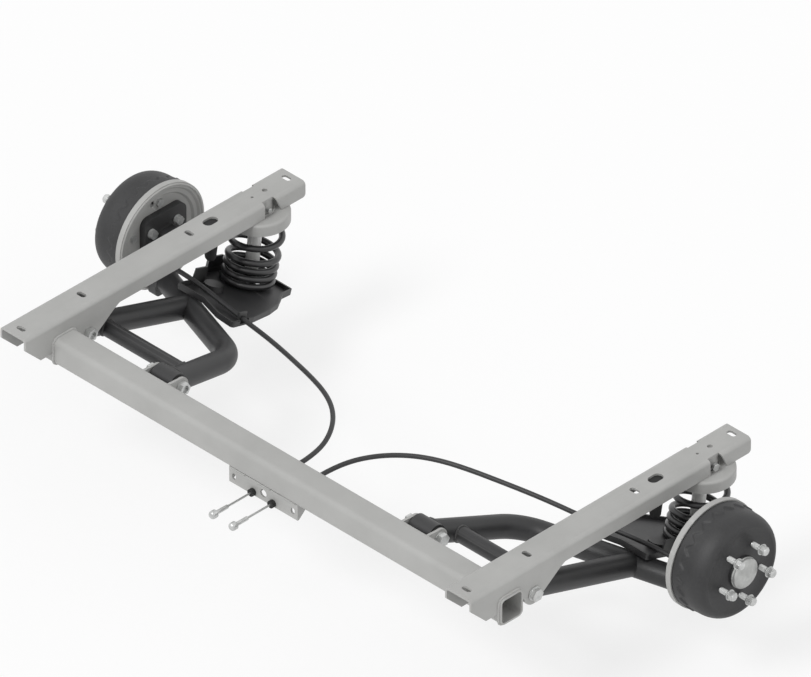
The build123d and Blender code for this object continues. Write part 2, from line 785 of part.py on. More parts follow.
with BuildPart() as damper_lower:
    with BuildSketch(cross_plane(rail_x - 12, *damper_low)):
        Circle(14)
    extrude(amount=24)
    with BuildSketch(damper_plane(damper_length - 136)):
        Circle(body_r)
    extrude(amount=126)
    with BuildSketch(cross_plane(rail_x - 13, *damper_low)):
        Circle(6.5)
    extrude(amount=26, mode=Mode.SUBTRACT)
save_pair(damper_lower.part, "damper_lower")

# -------------------------------------------------------------- cable bracket
bracket_half = 93.0
bracket_top = beam_z - 30.1
bracket_low = -129.6
with BuildPart() as cable_bracket:
    with BuildSketch(Plane(origin=(0, bracket_y, 0), x_dir=(1, 0, 0), z_dir=(0, -1, 0))) as plate:
        with Locations((0, (bracket_top + bracket_low) / 2)):
            Rectangle(2 * bracket_half, bracket_top - bracket_low)
        with Locations((-80, -113), (80, -113)):
            SlotOverall(14, 10, rotation=90, mode=Mode.SUBTRACT)
        with Locations((0, -112)):
            Circle(8.5, mode=Mode.SUBTRACT)
        with Locations((-gland_x, -121), (gland_x, -121)):
            Circle(6.5, mode=Mode.SUBTRACT)
    extrude(amount=-4)
    for x in (-bracket_half, bracket_half - 4):
        with BuildSketch(cross_plane(x, 0, 0)):
            with BuildLine():
                Polyline(
                    (bracket_y + 4, bracket_top), (bracket_y + 34, bracket_top),
                    (bracket_y + 30, bracket_top - 12), (bracket_y + 4, bracket_low), close=True,
                )
            make_face()
        extrude(amount=4)
save(cable_bracket.part, "cable_bracket")

cable_z = -121.0
with BuildPart() as cable_glands:
    for x in (-gland_x, gland_x):
        with BuildSketch(Plane(origin=(x, bracket_y + 11, cable_z), x_dir=(1, 0, 0), z_dir=(0, -1, 0))):
            Circle(8)
            Circle(2.3, mode=Mode.SUBTRACT)
        extrude(amount=7)
        with BuildSketch(Plane(origin=(x, bracket_y + 4, cable_z), x_dir=(1, 0, 0), z_dir=(0, -1, 0))):
            Circle(6.4)
            Circle(2.3, mode=Mode.SUBTRACT)
        extrude(amount=4)
        with BuildSketch(Plane(origin=(x, bracket_y, cable_z), x_dir=(1, 0, 0), z_dir=(0, -1, 0))):
            Circle(8)
            Circle(2.3, mode=Mode.SUBTRACT)
        extrude(amount=9)
save(cable_glands.part, "cable_glands")

# ------------------------------------------------------------- brake cables
# Free run: from the gland under the beam, rearwards, then out to the clip on the arm.
cable_route = [
    (27, -292, -121), (27, -240, -121), (27.5, -190, -120), (29, -148, -119), (37, -106, -118),
    (55, -68, -117), (82, -32, -117), (119, 0, -118), (166, 25, -120), (222, 45, -124),
    (277, 61, -128), (333, 76, -131.5), (391, 89.5, -135.3), (449, 100, -139),
]
tail_route = [
    (451, 100.4, -139), (494, 107, -138.5), (540, 113, -137), (588, 119.5, -136), (636, 126, -137.5),
    (686, 130.5, -140.5), (724, 132.5, -141.6), (752, 132.5, -141.6),
]


def corner_radii(points):
    """An arc at each corner as large as its two runs allow."""
    radii = []
    for before, corner, after in zip(points, points[1:], points[2:]):
        first = Vector(*corner) - Vector(*before)
        second = Vector(*after) - Vector(*corner)
        turn = radians(first.get_angle(second))
        radii.append(0.45 * min(first.length, second.length) / tan(turn / 2))
    return radii


def cable_tube(points, radius):
    radii = corner_radii(points)
    with BuildPart() as tube:
        with BuildLine() as route:
            FilletPolyline(*points, radius=radii)
        with BuildSketch(Plane(origin=route.line @ 0, z_dir=route.line % 0)):
            Circle(radius)
        sweep()
    length = route.wires()[0].length
    print("cable radii", [round(r) for r in radii], "length", round(length, 1),
          "volume", round(tube.part.volume), "expected", round(length * pi * radius ** 2))
    return tube.part


save_pair(cable_tube(cable_route, cable_r), "brake_cable")
save_pair(cable_tube(tail_route, cable_r), "cable_tail")

with BuildPart() as cable_inner:
    for reach, length, radius in ((2, 112, 2.2), (-69.5, 32, 4.2), (-101.5, 14, 8.5)):
        start = Plane(origin=(gland_x, bracket_y + reach, cable_z), x_dir=(1, 0, 0), z_dir=(0, -1, 0))
        with BuildSketch(start):
            Circle(radius)
        extrude(amount=length)
    nose = cable_inner.edges().filter_by(GeomType.CIRCLE).filter_by(lambda e: e.radius > 8)
    fillet(nose.sort_by(Axis.Y)[0], 6)
save_pair(cable_inner.part, "cable_inner")
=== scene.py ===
import bpy
import bmesh
import json
import math
from mathutils import Matrix, Vector


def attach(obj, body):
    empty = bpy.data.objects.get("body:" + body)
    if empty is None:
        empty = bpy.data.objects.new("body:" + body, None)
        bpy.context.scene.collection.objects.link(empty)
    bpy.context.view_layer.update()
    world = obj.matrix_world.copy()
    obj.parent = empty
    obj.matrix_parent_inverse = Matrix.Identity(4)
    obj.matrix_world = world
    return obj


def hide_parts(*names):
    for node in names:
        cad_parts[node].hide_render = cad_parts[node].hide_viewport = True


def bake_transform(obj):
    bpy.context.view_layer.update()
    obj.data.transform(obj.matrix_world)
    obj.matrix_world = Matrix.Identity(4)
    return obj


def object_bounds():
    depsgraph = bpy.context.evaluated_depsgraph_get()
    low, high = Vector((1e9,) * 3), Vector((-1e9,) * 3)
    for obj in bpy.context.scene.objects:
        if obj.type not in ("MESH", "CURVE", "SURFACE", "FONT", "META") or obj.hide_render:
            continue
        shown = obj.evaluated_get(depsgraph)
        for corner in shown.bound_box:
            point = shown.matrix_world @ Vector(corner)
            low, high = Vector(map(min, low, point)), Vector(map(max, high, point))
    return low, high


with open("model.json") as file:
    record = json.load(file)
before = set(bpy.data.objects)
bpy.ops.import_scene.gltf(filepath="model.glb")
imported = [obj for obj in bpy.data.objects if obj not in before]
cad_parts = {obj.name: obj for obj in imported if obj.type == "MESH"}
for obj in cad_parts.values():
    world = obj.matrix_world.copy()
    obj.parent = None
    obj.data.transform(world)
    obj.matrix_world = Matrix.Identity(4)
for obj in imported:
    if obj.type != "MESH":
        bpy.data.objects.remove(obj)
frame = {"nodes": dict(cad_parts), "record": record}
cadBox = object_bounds()
nodes = frame["nodes"]
sides = (("right", 1), ("left", -1))
droop = math.radians(18.2)  # slope of the arms at rest
pivotY, pivotZ = -0.2135, -0.0656  # arm pivot line
hubY, hubZ = 0.1545, -0.1046  # wheel axis
railX = 0.6044  # middle of each rail
beamY, beamZ = -0.2785, -0.0636  # middle of the cross beam
cupY = 0.2845  # middle of the spring cups
glandX, glandBack, cableZ = 0.027, -0.292, -0.121  # where the conduits leave their glands


def say(words):
    print("stage:", words)


def toLinear(hexColour):
    channels = [int(hexColour[i:i + 2], 16) / 255 for i in (1, 3, 5)]
    return [c / 12.92 if c <= 0.04045 else ((c + 0.055) / 1.055) ** 2.4 for c in channels] + [1.0]


def addNode(tree, kind, values=None, links=None, **settings):
    node = tree.nodes.new(kind)
    for name, value in settings.items():
        setattr(node, name, value)
    for name, value in (values or {}).items():
        node.inputs[name].default_value = value
    for name, source in (links or {}).items():
        tree.links.new(source, node.inputs[name])
    return node


def surface(name, look):
    # a base colour broken up by cloudy patches, fine grain in the bump, and wear on the edges
    mat = bpy.data.materials.new(name)
    mat.use_nodes = True
    tree = mat.node_tree
    tree.nodes.clear()
    place = addNode(tree, "ShaderNodeTexCoord").outputs["Object"]
    cloud = addNode(tree, "ShaderNodeTexNoise", {"Scale": 1 / look["patch"], "Detail": 5.0, "Roughness": 0.6},
                    {"Vector": place})
    grain = addNode(tree, "ShaderNodeTexNoise", {"Scale": 1 / look["grain"], "Detail": 3.0},
                    {"Vector": place})
    tones = addNode(tree, "ShaderNodeValToRGB", links={"Fac": cloud.outputs["Fac"]})
    tones.color_ramp.elements[0].position = 0.3
    tones.color_ramp.elements[0].color = toLinear(look["dark"])
    tones.color_ramp.elements[1].position = 0.72
    tones.color_ramp.elements[1].color = toLinear(look["light"])
    colour = tones.outputs["Color"]
    if "edge" in look:
        # pointiness is high on raised edges, where the coat has thinned
        bend = addNode(tree, "ShaderNodeNewGeometry").outputs["Pointiness"]
        wear = addNode(tree, "ShaderNodeMapRange",
                       {"From Min": 0.53, "From Max": 0.62, "To Max": look["wear"]}, {"Value": bend})
        colour = mixColour(tree, colour, look["edge"], wear)
    if "specks" in look:
        # small pits or zinc spangle at their real size
        cells = addNode(tree, "ShaderNodeTexVoronoi", {"Scale": 1 / look["specks"]}, {"Vector": place})
        tone = addNode(tree, "ShaderNodeMapRange", {"To Max": look["speckShow"]},
                       {"Value": cells.outputs["Color"]})
        colour = mixColour(tree, colour, look["speckColour"], tone)
    rough = addNode(tree, "ShaderNodeMapRange",
                    {"To Min": look["rough"] - look["roughVary"],
                     "To Max": look["rough"] + look["roughVary"]}, {"Value": cloud.outputs["Fac"]})
    bump = addNode(tree, "ShaderNodeBump", {"Strength": look["bump"], "Distance": look["bumpDepth"]},
                   {"Height": grain.outputs["Fac"]})
    shader = addNode(tree, "ShaderNodeBsdfPrincipled", {"Metallic": look.get("metal", 0.0)},
                     {"Base Color": colour, "Roughness": rough.outputs["Result"],
                      "Normal": bump.outputs["Normal"]})
    if "coat" in look:
        shader.inputs["Coat Weight"].default_value = look["coat"]
        shader.inputs["Coat Roughness"].default_value = 0.25
    addNode(tree, "ShaderNodeOutputMaterial", links={"Surface": shader.outputs["BSDF"]})
    return mat


def mixColour(tree, base, other, amount):
    mix = tree.nodes.new("ShaderNodeMix")
    mix.data_type = "RGBA"
    tree.links.new(amount.outputs["Result"], mix.inputs[0])
    tree.links.new(base, mix.inputs[6])
    mix.inputs[7].default_value = toLinear(other)
    return mix.outputs[2]


# zinc-rich paint, sprayed: flat and even, with faint clouding and an orange-peel grain
zincPaintLook = {"dark": "#9f9f9d", "light": "#adadab", "patch": 0.16, "grain": 0.0035, "rough": 0.5,
                 "roughVary": 0.06, "bump": 0.16, "bumpDepth": 0.0006, "edge": "#c4c4c2", "wear": 0.45}
# black chassis paint over welded tube: satin, a little dusty, scuffed to grey on its edges
blackPaintLook = {"dark": "#212122", "light": "#2d2d2e", "patch": 0.07, "grain": 0.0028, "rough": 0.46,
                  "roughVary": 0.09, "bump": 0.24, "bumpDepth": 0.0007, "edge": "#555554", "wear": 0.5}
# powder-coated spring wire: darker and glossier than the arms
springCoatLook = {"dark": "#1e1e1f", "light": "#29292a", "patch": 0.05, "grain": 0.002, "rough": 0.36,
                  "roughVary": 0.05, "bump": 0.1, "bumpDepth": 0.0004, "coat": 0.25}
# grey cast iron left as cast and painted black: coarse sand texture
castIronLook = {"dark": "#222223", "light": "#2f2f30", "patch": 0.045, "grain": 0.0022, "rough": 0.55,
                "roughVary": 0.1, "bump": 0.5, "bumpDepth": 0.0009, "edge": "#565656", "wear": 0.6,
                "specks": 0.004, "speckShow": 0.2, "speckColour": "#3d3d3e"}
# zinc-plated steel fasteners: bright, slightly streaked
zincPlateLook = {"dark": "#b3b4b3", "light": "#d2d3d2", "patch": 0.012, "grain": 0.0012, "rough": 0.36,
                 "roughVary": 0.08, "bump": 0.1, "bumpDepth": 0.0002, "metal": 0.8}
# pressed and galvanised cap: soft metal with a small spangle
capMetalLook = {"dark": "#aaaba9", "light": "#c4c5c3", "patch": 0.02, "grain": 0.0015, "rough": 0.42,
                "roughVary": 0.08, "bump": 0.12, "bumpDepth": 0.0003, "metal": 0.55, "specks": 0.007,
                "speckShow": 0.35, "speckColour": "#8f908f"}
# moulded rubber: nearly matt, faintly grey where it has bloomed
rubberLook = {"dark": "#191919", "light": "#252525", "patch": 0.03, "grain": 0.0015, "rough": 0.78,
              "roughVary": 0.06, "bump": 0.22, "bumpDepth": 0.0004}
# extruded PVC sheath over a steel conduit
sheathLook = {"dark": "#232324", "light": "#2f2f30", "patch": 0.04, "grain": 0.0016, "rough": 0.48,
              "roughVary": 0.05, "bump": 0.1, "bumpDepth": 0.0003}
# white enamelled dust tube
whiteEnamelLook = {"dark": "#dcdcda", "light": "#ececea", "patch": 0.06, "grain": 0.003, "rough": 0.3,
                   "roughVary": 0.04, "bump": 0.06, "bumpDepth": 0.0003, "coat": 0.2}
# woven and bonded brake lining on a pressed shoe
liningLook = {"dark": "#4e4740", "light": "#6a6158", "patch": 0.006, "grain": 0.001, "rough": 0.85,
              "roughVary": 0.05, "bump": 0.4, "bumpDepth": 0.0004, "specks": 0.0015, "speckShow": 0.4,
              "speckColour": "#8c7a5e"}

zincPaint = surface("zincPaint", zincPaintLook)
blackPaint = surface("blackPaint", blackPaintLook)
springCoat = surface("springCoat", springCoatLook)
castIron = surface("castIron", castIronLook)
zincPlate = surface("zincPlate", zincPlateLook)
capMetal = surface("capMetal", capMetalLook)
rubber = surface("rubber", rubberLook)
sheath = surface("sheath", sheathLook)
whiteEnamel = surface("whiteEnamel", whiteEnamelLook)
lining = surface("lining", liningLook)
say("materials")


def bodyOf(node):
    return next(b for b, members in frame["record"]["behaviour"]["bodies"].items() if node in members)


def giveMaterial(obj, mat):
    obj.data.materials.clear()
    obj.data.materials.append(mat)


def newMesh(name, bm, mat, smoothAngle=35):
    bmesh.ops.remove_doubles(bm, verts=bm.verts, dist=1e-6)
    bmesh.ops.recalc_face_normals(bm, faces=bm.faces)
    mesh = bpy.data.meshes.new(name)
    bm.to_mesh(mesh)
    bm.free()
    obj = bpy.data.objects.new(name, mesh)
    bpy.context.scene.collection.objects.link(obj)
    giveMaterial(obj, mat)
    shadeByAngle(obj, smoothAngle)
    return obj


def shadeByAngle(obj, degrees):
    mesh = obj.data
    mesh.polygons.foreach_set("use_smooth", [True] * len(mesh.polygons))
    mesh.set_sharp_from_angle(angle=math.radians(degrees))


def finishedCopy(node, mat, edge=0.0008):
    # the CAD shape, merged into one skin, with its sharp edges broken as paint or casting leaves them
    bm = bmesh.new()
    bm.from_mesh(nodes[node].data)
    bmesh.ops.remove_doubles(bm, verts=bm.verts, dist=2e-6)
    bmesh.ops.dissolve_limit(bm, angle_limit=math.radians(0.4), verts=bm.verts, edges=bm.edges)
    mesh = bpy.data.meshes.new(node + "Finished")
    bm.to_mesh(mesh)
    bm.free()
    obj = bpy.data.objects.new(node + "Finished", mesh)
    bpy.context.scene.collection.objects.link(obj)
    giveMaterial(obj, mat)
    shadeByAngle(obj, 32)
    if edge:
        rounding = obj.modifiers.new("edges", "BEVEL")
        rounding.width = edge
        rounding.segments = 2
        rounding.limit_method = "ANGLE"
        rounding.angle_limit = math.radians(35)
        rounding.use_clamp_overlap = True
        rounding.harden_normals = True
    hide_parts(node)
    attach(obj, bodyOf(node))
    return obj


def armPoint(x, along, up):
    return Vector((x, pivotY + along * math.cos(droop) + up * math.sin(droop),
                   pivotZ - along * math.sin(droop) + up * math.cos(droop)))


def ringPoints(centre, axis, radius, count):
    axis = Vector(axis).normalized()
    first = axis.orthogonal().normalized()
    second = axis.cross(first)
    turn = 2 * math.pi / count
    return [Vector(centre) + radius * (math.cos(turn * i) * first + math.sin(turn * i) * second)
            for i in range(count)]


def lathe(name, profile, centre, axis, mat, steps=64):
    # profile is (distance along the axis, radius) all the way round a closed section
    axis = Vector(axis).normalized()
    bm = bmesh.new()
    first = axis.orthogonal().normalized()
    second = axis.cross(first)
    rings = []
    for step in range(steps):
        angle = 2 * math.pi * step / steps
        out = math.cos(angle) * first + math.sin(angle) * second
        rings.append([bm.verts.new(Vector(centre) + axis * d + out * r) for d, r in profile])
    for step in range(steps):
        here, there = rings[step], rings[(step + 1) % steps]
        for i in range(len(profile)):
            j = (i + 1) % len(profile)
            bm.faces.new((here[i], here[j], there[j], there[i]))
    return newMesh(name, bm, mat)


def geometryTree(name, inputs):
    tree = bpy.data.node_groups.new(name, "GeometryNodeTree")
    tree.interface.new_socket("Geometry", in_out="INPUT", socket_type="NodeSocketGeometry")
    for label, kind, value in inputs:
        socket = tree.interface.new_socket(label, in_out="INPUT", socket_type=kind)
        if value is not None:
            socket.default_value = value
    tree.interface.new_socket("Geometry", in_out="OUTPUT", socket_type="NodeSocketGeometry")
    return tree


def setInput(tree, modifier, label, value):
    for item in tree.interface.items_tree:
        if item.item_type == "SOCKET" and item.in_out == "INPUT" and item.name == label:
            modifier[item.identifier] = value


def weldTree():
    # overlapping ripples of weld metal laid along a curve
    tree = geometryTree("weldBead", [("Ripple Step", "NodeSocketFloat", 0.0024),
                                     ("Bead Radius", "NodeSocketFloat", 0.003),
                                     ("Unevenness", "NodeSocketFloat", 0.12), ("Seed", "NodeSocketInt", 4),
                                     ("Material", "NodeSocketMaterial", None)])
    start = addNode(tree, "NodeGroupInput")
    points = addNode(tree, "GeometryNodeCurveToPoints", mode="LENGTH",
                     links={"Curve": start.outputs["Geometry"], "Length": start.outputs["Ripple Step"]})
    bead = addNode(tree, "GeometryNodeMeshIcoSphere", {"Subdivisions": 2},
                   {"Radius": start.outputs["Bead Radius"]})
    flat = addNode(tree, "GeometryNodeTransform", {"Scale": (1.0, 1.0, 0.62)},
                   {"Geometry": bead.outputs["Mesh"]})
    low = addNode(tree, "ShaderNodeMath", {0: 1.0}, {1: start.outputs["Unevenness"]}, operation="SUBTRACT")
    high = addNode(tree, "ShaderNodeMath", {0: 1.0}, {1: start.outputs["Unevenness"]}, operation="ADD")
    size = addNode(tree, "FunctionNodeRandomValue", data_type="FLOAT")
    tree.links.new(low.outputs[0], size.inputs[2])
    tree.links.new(high.outputs[0], size.inputs[3])
    tree.links.new(start.outputs["Seed"], size.inputs["Seed"])
    scattered = addNode(tree, "GeometryNodeInstanceOnPoints",
                        links={"Points": points.outputs["Points"], "Instance": flat.outputs["Geometry"],
                               "Rotation": points.outputs["Rotation"], "Scale": size.outputs[1]})
    real = addNode(tree, "GeometryNodeRealizeInstances", links={"Geometry": scattered.outputs["Instances"]})
    smooth = addNode(tree, "GeometryNodeSetShadeSmooth", links={"Geometry": real.outputs["Geometry"]})
    painted = addNode(tree, "GeometryNodeSetMaterial",
                      links={"Geometry": smooth.outputs["Geometry"], "Material": start.outputs["Material"]})
    addNode(tree, "NodeGroupOutput", links={"Geometry": painted.outputs["Geometry"]})
    return tree


def hexBoltTree():
    # a chamfered hexagon head on a round flange, one at each point
    tree = geometryTree("hexHeads", [("Across Flats", "NodeSocketFloat", 0.019),
                                     ("Head Height", "NodeSocketFloat", 0.01),
                                     ("Flange Radius", "NodeSocketFloat", 0.0125),
                                     ("Flange Height", "NodeSocketFloat", 0.002),
                                     ("Facing", "NodeSocketVector", (1.0, 0.0, 0.0)),
                                     ("Material", "NodeSocketMaterial", None)])
    start = addNode(tree, "NodeGroupInput")
    acrossFlats, headHeight = start.outputs["Across Flats"], start.outputs["Head Height"]
    corner = addNode(tree, "ShaderNodeMath", {1: 0.57735}, {0: acrossFlats}, operation="MULTIPLY")
    rim = addNode(tree, "ShaderNodeMath", {1: 0.48}, {0: acrossFlats}, operation="MULTIPLY")
    bodyHeight = addNode(tree, "ShaderNodeMath", {1: 0.86}, {0: headHeight}, operation="MULTIPLY")
    capHeight = addNode(tree, "ShaderNodeMath", {1: 0.14}, {0: headHeight}, operation="MULTIPLY")
    prism = addNode(tree, "GeometryNodeMeshCone", {"Vertices": 6},
                    {"Radius Top": corner.outputs[0], "Radius Bottom": corner.outputs[0],
                     "Depth": bodyHeight.outputs[0]})
    cap = addNode(tree, "GeometryNodeMeshCone", {"Vertices": 24},
                  {"Radius Top": rim.outputs[0], "Radius Bottom": rim.outputs[0],
                   "Depth": capHeight.outputs[0]})
    flange = addNode(tree, "GeometryNodeMeshCone", {"Vertices": 40},
                     {"Radius Top": start.outputs["Flange Radius"],
                      "Radius Bottom": start.outputs["Flange Radius"],
                      "Depth": start.outputs["Flange Height"]})
    lift = addNode(tree, "ShaderNodeCombineXYZ", links={"Z": start.outputs["Flange Height"]})
    capLift = addNode(tree, "ShaderNodeMath", operation="ADD",
                      links={0: bodyHeight.outputs[0], 1: start.outputs["Flange Height"]})
    capPlace = addNode(tree, "ShaderNodeCombineXYZ", links={"Z": capLift.outputs[0]})
    raised = addNode(tree, "GeometryNodeTransform", links={"Geometry": prism.outputs["Mesh"],
                                                           "Translation": lift.outputs["Vector"]})
    topped = addNode(tree, "GeometryNodeTransform", links={"Geometry": cap.outputs["Mesh"],
                                                           "Translation": capPlace.outputs["Vector"]})
    whole = addNode(tree, "GeometryNodeJoinGeometry")
    for part in (flange.outputs["Mesh"], raised.outputs["Geometry"], topped.outputs["Geometry"]):
        tree.links.new(part, whole.inputs["Geometry"])
    turn = addNode(tree, "FunctionNodeAlignRotationToVector", axis="Z",
                   links={"Vector": start.outputs["Facing"]})
    placed = addNode(tree, "GeometryNodeInstanceOnPoints",
                     links={"Points": start.outputs["Geometry"], "Instance": whole.outputs["Geometry"],
                            "Rotation": turn.outputs["Rotation"]})
    real = addNode(tree, "GeometryNodeRealizeInstances", links={"Geometry": placed.outputs["Instances"]})
    painted = addNode(tree, "GeometryNodeSetMaterial",
                      links={"Geometry": real.outputs["Geometry"], "Material": start.outputs["Material"]})
    addNode(tree, "NodeGroupOutput", links={"Geometry": painted.outputs["Geometry"]})
    return tree


def grown(name, source, tree, values, mat):
    # runs a tree on a source object and keeps the plain mesh that it makes
    modifier = source.modifiers.new("grow", "NODES")
    modifier.node_group = tree
    for label, value in values.items():
        setInput(tree, modifier, label, value)
    setInput(tree, modifier, "Material", mat)
    bpy.context.view_layer.update()
    graph = bpy.context.evaluated_depsgraph_get()
    mesh = bpy.data.meshes.new_from_object(source.evaluated_get(graph))
    bpy.data.objects.remove(source)
    mesh.name = name
    obj = bpy.data.objects.new(name, mesh)
    bpy.context.scene.collection.objects.link(obj)
    giveMaterial(obj, mat)
    return obj


def curveObject(name, paths, closed):
    curve = bpy.data.curves.new(name, "CURVE")
    curve.dimensions = "3D"
    for path in paths:
        spline = curve.splines.new("POLY")
        spline.points.add(len(path) - 1)
        for point, place in zip(spline.points, path):
            point.co = (*place, 1.0)
        spline.use_cyclic_u = closed
    obj = bpy.data.objects.new(name, curve)
    bpy.context.scene.collection.objects.link(obj)
    return obj


def pointCloud(name, places):
    mesh = bpy.data.meshes.new(name)
    mesh.from_pydata([tuple(p) for p in places], [], [])
    obj = bpy.data.objects.new(name, mesh)
    bpy.context.scene.collection.objects.link(obj)
    return obj


welds = weldTree()
hexHeads = hexBoltTree()


def weldBead(name, paths, body, mat, closed=False, radius=0.003, seed=4):
    bead = grown(name, curveObject(name + "Path", paths, closed), welds,
                 {"Bead Radius": radius, "Ripple Step": radius * 0.8, "Seed": seed}, mat)
    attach(bead, body)
    return bead


def boltHeads(name, places, facing, body, sizes):
    heads = grown(name, pointCloud(name + "Points", places), hexHeads, {**sizes, "Facing": facing}, zincPlate)
    rounding = heads.modifiers.new("edges", "BEVEL")
    rounding.width = 0.0004
    rounding.segments = 2
    rounding.limit_method = "ANGLE"
    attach(heads, body)
    return heads


finishes = {
    "frame_paint": (zincPaint, ["cross_beam", "rail", "inner_lugs", "cable_bracket", "spring_cup",
                                "backing_plate"]),
    "arm_black": (blackPaint, ["pivot_housings", "arm_bent_tube", "arm_outer_tube", "arm_brace",
                               "spring_tray", "stub_axle"]),
    "bright_zinc": (zincPlate, ["pivot_bolts", "pivot_sleeves", "arm_bolts", "brake_expander", "axle_nut",
                                "wheel_bearing", "damper_top_bolts", "cable_inner"]),
    "cap_metal": (capMetal, ["hub_cap"]),
    "bush_rubber": (rubber, ["pivot_bushes", "bump_stop"]),
    "gland_plastic": (rubber, ["cable_glands"]),
    "dust_tube_white": (whiteEnamel, ["damper_upper"]),
    "spring_black": (springCoat, ["damper_lower"]),
    "shoe_lining": (lining, ["brake_shoe_front", "brake_shoe_rear"]),
}
for slotName, (mat, families) in finishes.items():
    for family in families:
        for node in [n for n in nodes if n == family or n in (family + "_right", family + "_left")]:
            finishedCopy(node, mat)
say("CAD shapes finished")

coil = {"wire": 0.0067, "radius": 0.0488, "seat": 0.478, "foot": 0.0299, "straight": 0.071, "length": 0.145,
        "start": 215, "stepsPerTurn": 36}
# close turns at the foot, one open turn, then a steep climb into the cup
coilHeights = [(0.0, 0.0), (1.0, 0.015), (3.0, 0.0485), (3.3, 0.054), (4.3, 0.088), (5.2, 0.134),
               (5.6, coil["length"])]


def coilHeight(turn):
    for (t0, h0), (t1, h1) in zip(coilHeights, coilHeights[1:]):
        if turn <= t1 + 1e-9:
            return h0 + (h1 - h0) * (turn - t0) / (t1 - t0)
    return coil["length"]


def coilCentre(height):
    # the coil stands square on the tray, then leans upright towards the cup
    foot = armPoint(railX, coil["seat"], coil["foot"])
    along = Vector((0, math.sin(droop), math.cos(droop)))
    if height <= coil["straight"]:
        return foot + along * height, droop
    centre = foot + along * coil["straight"]
    bend = coil["length"] - coil["straight"]
    steps = 12
    share = (height - coil["straight"]) / steps
    for step in range(steps):
        lean = droop * max(0.0, 1 - (step + 0.5) * share / bend)
        centre = centre + Vector((0, math.sin(lean), math.cos(lean))) * share
    return centre, droop * max(0.0, 1 - (height - coil["straight"]) / bend)


def coilPath(side):
    path = []
    total = round(coilHeights[-1][0] * coil["stepsPerTurn"])
    for i in range(total + 1):
        turn = i / coil["stepsPerTurn"]
        centre, lean = coilCentre(coilHeight(turn))
        angle = math.radians(360 * turn + coil["start"])
        across = coil["radius"] * math.cos(angle)
        back = coil["radius"] * math.sin(angle)
        place = centre + Vector((across, back * math.cos(lean), -back * math.sin(lean)))
        # both springs are the same part, so the left one is moved over and not mirrored
        path.append(place + Vector(((side - 1) * railX, 0, 0)))
    return path


def tubeAlong(name, path, radius, mat, around=20):
    # a round bar carried along a path, closed with flat ends
    bm = bmesh.new()
    rings = []
    side = (path[1] - path[0]).orthogonal().normalized()
    last = len(path) - 1
    for i, place in enumerate(path):
        way = (path[min(i + 1, last)] - path[max(i - 1, 0)]).normalized()
        side = (side - way * side.dot(way)).normalized()
        other = way.cross(side)
        rings.append([bm.verts.new(place + radius * (math.cos(a) * side + math.sin(a) * other))
                      for a in [2 * math.pi * k / around for k in range(around)]])
    for here, there in zip(rings, rings[1:]):
        for k in range(around):
            bm.faces.new((here[k], here[(k + 1) % around], there[(k + 1) % around], there[k]))
    for ring in (rings[0], rings[-1]):
        bm.faces.new(ring)
    return newMesh(name, bm, mat, 50)


for side, sign in sides:
    spring = tubeAlong("coilWire_" + side, coilPath(sign), coil["wire"], springCoat)
    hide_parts("coil_spring_" + side)
    # the centres of the top turn in the cup and of the foot on the tray
    top, foot = coilCentre(coil["length"])[0], coilCentre(0.0)[0]
    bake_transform(spring)
say("coil springs")

cable = {"radius": 0.005}
cableRoute = [
    (0.027, -0.292, -0.121), (0.027, -0.24, -0.121), (0.0275, -0.19, -0.12), (0.029, -0.148, -0.119),
    (0.037, -0.106, -0.118), (0.055, -0.068, -0.117), (0.082, -0.032, -0.117), (0.119, 0, -0.118),
    (0.166, 0.025, -0.12), (0.222, 0.045, -0.124), (0.277, 0.061, -0.128), (0.333, 0.076, -0.1315),
    (0.391, 0.0895, -0.1353), (0.45, 0.1002, -0.139), (0.494, 0.107, -0.1385), (0.54, 0.113, -0.137),
    (0.588, 0.1195, -0.136), (0.636, 0.126, -0.1375), (0.686, 0.1305, -0.1405), (0.724, 0.1325, -0.1416),
    (0.752, 0.1325, -0.1416),
]


def cableLine(side):
    curve = bpy.data.curves.new("cableLine", "CURVE")
    curve.dimensions = "3D"
    curve.resolution_u = 10
    spline = curve.splines.new("NURBS")
    spline.points.add(len(cableRoute) - 1)
    for point, (x, y, z) in zip(spline.points, cableRoute):
        point.co = (side * x, y, z, 1.0)
    spline.order_u = 3
    spline.use_endpoint_u = True
    obj = bpy.data.objects.new("cableLine", curve)
    bpy.context.scene.collection.objects.link(obj)
    bpy.context.view_layer.update()
    mesh = bpy.data.meshes.new_from_object(obj.evaluated_get(bpy.context.evaluated_depsgraph_get()))
    path = [v.co.copy() for v in mesh.vertices]
    bpy.data.objects.remove(obj)
    return path


for side, sign in sides:
    path = cableLine(sign)
    conduit = tubeAlong("brakeCable_" + side, path, cable["radius"], sheath, around=16)
    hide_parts("brake_cable_" + side, "cable_tail_" + side)
    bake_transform(conduit)
say("brake cables")
